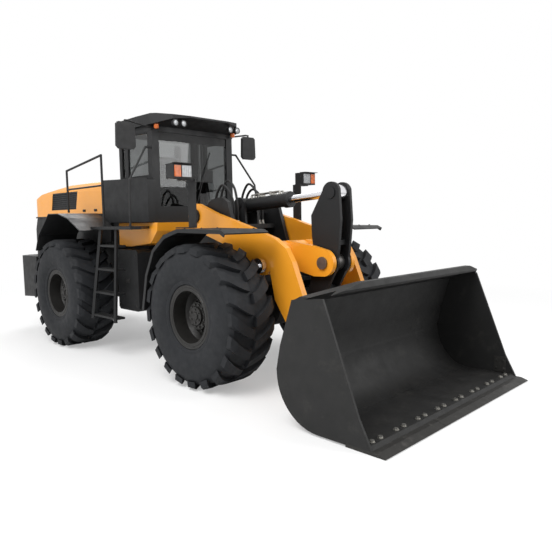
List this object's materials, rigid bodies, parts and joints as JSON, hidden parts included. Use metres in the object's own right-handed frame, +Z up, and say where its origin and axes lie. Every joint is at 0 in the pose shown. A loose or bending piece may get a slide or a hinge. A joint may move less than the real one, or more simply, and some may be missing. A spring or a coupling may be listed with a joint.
{
  "type": "wheel loader",
  "caption": "Articulated wheel loader with a wide bucket on a Z-bar linkage, a high glazed cab, lugged tyres and a low orange hood.",
  "frame": {"origin": "centre of the bounding box, on the ground under the tyres", "axes": "+X forward towards the bucket, +Y to the machine's left, +Z up"},
  "size_m": [8.88, 3.092, 3.55],
  "materials": {
    "body_orange": "gloss",
    "body_black": "satin",
    "bucket_grey": "satin",
    "wear_steel": "matte",
    "pin_steel": "satin",
    "chrome_rod": "polished",
    "tyre_rubber": "matte",
    "rim_paint": "satin",
    "tinted_glass": "gloss",
    "trim_plastic": "matte",
    "seat_cloth": "matte",
    "cast_parts": "matte"
  },
  "bodies": {
    "rear_frame": {"rear_frame": "body_black", "counterweight": "body_black", "engine_block": "cast_parts", "cooling_box": "body_black", "side_covers": "body_black", "rear_body": "body_black", "cab_deck": "body_orange", "cab_shell": "body_black", "cab_roof": "body_black", "cab_glass": "tinted_glass", "operator_seat": "seat_cloth", "steering_console": "trim_plastic", "access_steps": "body_black", "rear_fenders": "body_black", "handrails": "body_black", "mirrors": "trim_plastic", "exhaust_stack": "body_black", "work_lights": "trim_plastic", "rear_axle": "cast_parts"},
    "cab_door": {"cab_door": "body_black", "door_glass": "tinted_glass"},
    "hood": {"hood": "body_orange", "hood_grilles": "body_black"},
    "front_frame": {"front_frame": "body_black", "frame_pins": "body_black", "front_axle": "cast_parts", "front_fenders": "body_black", "front_lamps": "trim_plastic"},
    "wheel_rear_left": {"tyre_rear_left": "tyre_rubber", "rim_rear_left": "rim_paint"},
    "wheel_rear_right": {"tyre_rear_right": "tyre_rubber", "rim_rear_right": "rim_paint"},
    "wheel_front_left": {"tyre_front_left": "tyre_rubber", "rim_front_left": "rim_paint"},
    "wheel_front_right": {"tyre_front_right": "tyre_rubber", "rim_front_right": "rim_paint"},
    "boom": {"boom": "body_orange"},
    "lever_pin": {"lever_pin": "pin_steel"},
    "tilt_lever": {"tilt_lever": "body_black"},
    "link_pin": {"link_pin": "pin_steel"},
    "tilt_link": {"tilt_link": "body_black"},
    "bucket_pins": {"bucket_pins": "pin_steel"},
    "tilt_barrel": {"tilt_barrel": "body_black"},
    "tilt_rod": {"tilt_rod": "chrome_rod"},
    "lift_barrels": {"lift_barrels": "body_black"},
    "lift_rods": {"lift_rods": "chrome_rod"},
    "steer_barrel_left": {"steer_barrel_left": "body_black"},
    "steer_rod_left": {"steer_rod_left": "chrome_rod"},
    "steer_barrel_right": {"steer_barrel_right": "body_black"},
    "steer_rod_right": {"steer_rod_right": "chrome_rod"},
    "bucket": {"bucket": "bucket_grey", "cutting_edge": "wear_steel"}
  },
  "joints": [
    {"name": "articulation", "type": "hinge", "parent": "rear_frame", "child": "front_frame", "pos_m": [-0.19, 0, 1.15], "axis": [0, 0, 1], "range_deg": [-40, 40]},
    {"name": "wheel_rear_left_spin", "type": "hinge", "parent": "rear_frame", "child": "wheel_rear_left", "pos_m": [-1.965, 1.14, 0.875], "axis": [0, 1, 0], "continuous": true},
    {"name": "wheel_rear_right_spin", "type": "hinge", "parent": "rear_frame", "child": "wheel_rear_right", "pos_m": [-1.965, -1.14, 0.875], "axis": [0, 1, 0], "continuous": true},
    {"name": "wheel_front_left_spin", "type": "hinge", "parent": "front_frame", "child": "wheel_front_left", "pos_m": [1.585, 1.14, 0.875], "axis": [0, 1, 0], "continuous": true},
    {"name": "wheel_front_right_spin", "type": "hinge", "parent": "front_frame", "child": "wheel_front_right", "pos_m": [1.585, -1.14, 0.875], "axis": [0, 1, 0], "continuous": true},
    {"name": "hood_lift", "type": "hinge", "parent": "rear_frame", "child": "hood", "pos_m": [-1.4, 0, 2.66], "axis": [0, 1, 0], "range_deg": [0, 55]},
    {"name": "door_swing", "type": "hinge", "parent": "rear_frame", "child": "cab_door", "pos_m": [-0.83, 0.794, 2.65], "axis": [0, 0, 1], "range_deg": [0, 80]},
    {"name": "boom_lift", "type": "hinge", "parent": "front_frame", "child": "boom", "pos_m": [0.73, 0, 2.08], "axis": [0, -1, 0], "range_deg": [0, 86]},
    {"name": "lever_pin_turn", "type": "hinge", "parent": "boom", "child": "lever_pin", "pos_m": [2.65, 0, 1.488], "axis": [0, -1, 0], "range_deg": [0, 23.16]},
    {"name": "link_pin_turn", "type": "hinge", "parent": "tilt_lever", "child": "link_pin", "pos_m": [2.371, 0, 0.82], "axis": [0, -1, 0], "range_deg": [-50.08, 0]},
    {"name": "bucket_pin_turn", "type": "hinge", "parent": "boom", "child": "bucket_pins", "pos_m": [2.936, 0, 0.367], "axis": [0, -1, 0], "range_deg": [-77.6, 0]},
    {"name": "bucket_tilt", "type": "hinge", "parent": "bucket_pins", "child": "bucket", "pos_m": [2.936, 0, 0.367], "axis": [0, -1, 0], "range_deg": [-58, 32]},
    {"name": "lever_swing", "type": "hinge", "parent": "lever_pin", "child": "tilt_lever", "pos_m": [2.65, 0, 1.488], "axis": [0, -1, 0], "range_deg": [-9.67, 17.37]},
    {"name": "link_swing", "type": "hinge", "parent": "link_pin", "child": "tilt_link", "pos_m": [2.371, 0, 0.82], "axis": [0, -1, 0], "range_deg": [-31.52, 17.48]},
    {"name": "tilt_barrel_swing", "type": "hinge", "parent": "front_frame", "child": "tilt_barrel", "pos_m": [1.08, 0, 2.22], "axis": [0, -1, 0], "range_deg": [0, 102.54]},
    {"name": "tilt_rod_slide", "type": "slide", "parent": "tilt_barrel", "child": "tilt_rod", "axis": [0.9979, 0, 0.0644], "range_m": [-0.25204, 0.13995]},
    {"name": "lift_barrel_swing", "type": "hinge", "parent": "front_frame", "child": "lift_barrels", "pos_m": [0.61, 0, 0.85], "axis": [0, -1, 0], "range_deg": [0, 48.7]},
    {"name": "lift_rod_slide", "type": "slide", "parent": "lift_barrels", "child": "lift_rods", "axis": [0.9198, 0, 0.3924], "range_m": [0, 1.07625]},
    {"name": "steer_barrel_left_swing", "type": "hinge", "parent": "rear_frame", "child": "steer_barrel_left", "pos_m": [-0.68, 0.38, 1.18], "axis": [0, 0, 1], "range_deg": [-20.2, 20.2]},
    {"name": "steer_rod_left_slide", "type": "slide", "parent": "steer_barrel_left", "child": "steer_rod_left", "axis": [0.9998, -0.0202, 0], "range_m": [-0.2254, 0.2254]},
    {"name": "steer_barrel_right_swing", "type": "hinge", "parent": "rear_frame", "child": "steer_barrel_right", "pos_m": [-0.68, -0.38, 1.18], "axis": [0, 0, 1], "range_deg": [-20.2, 20.2]},
    {"name": "steer_rod_right_slide", "type": "slide", "parent": "steer_barrel_right", "child": "steer_rod_right", "axis": [0.9998, 0.0202, 0], "range_m": [-0.2254, 0.2254]}
  ],
  "couplings": [
    {"joint": "lever_pin_turn", "follows": "boom_lift", "ratio": 0.267},
    {"joint": "link_pin_turn", "follows": "boom_lift", "ratio": -0.58},
    {"joint": "bucket_pin_turn", "follows": "boom_lift", "ratio": -0.9},
    {"joint": "lever_swing", "follows": "bucket_tilt", "ratio": -0.296},
    {"joint": "link_swing", "follows": "bucket_tilt", "ratio": 0.54},
    {"joint": "tilt_barrel_swing", "follows": "boom_lift", "ratio": 1.19},
    {"joint": "tilt_rod_slide", "follows": "bucket_tilt", "m_per_rad": 0.247},
    {"joint": "lift_barrel_swing", "follows": "boom_lift", "ratio": 0.564},
    {"joint": "lift_rod_slide", "follows": "boom_lift", "m_per_rad": 0.7157},
    {"joint": "steer_barrel_left_swing", "follows": "articulation", "ratio": 0.5},
    {"joint": "steer_rod_left_slide", "follows": "articulation", "m_per_rad": -0.32},
    {"joint": "steer_barrel_right_swing", "follows": "articulation", "ratio": 0.5},
    {"joint": "steer_rod_right_slide", "follows": "articulation", "m_per_rad": 0.32}
  ]
}
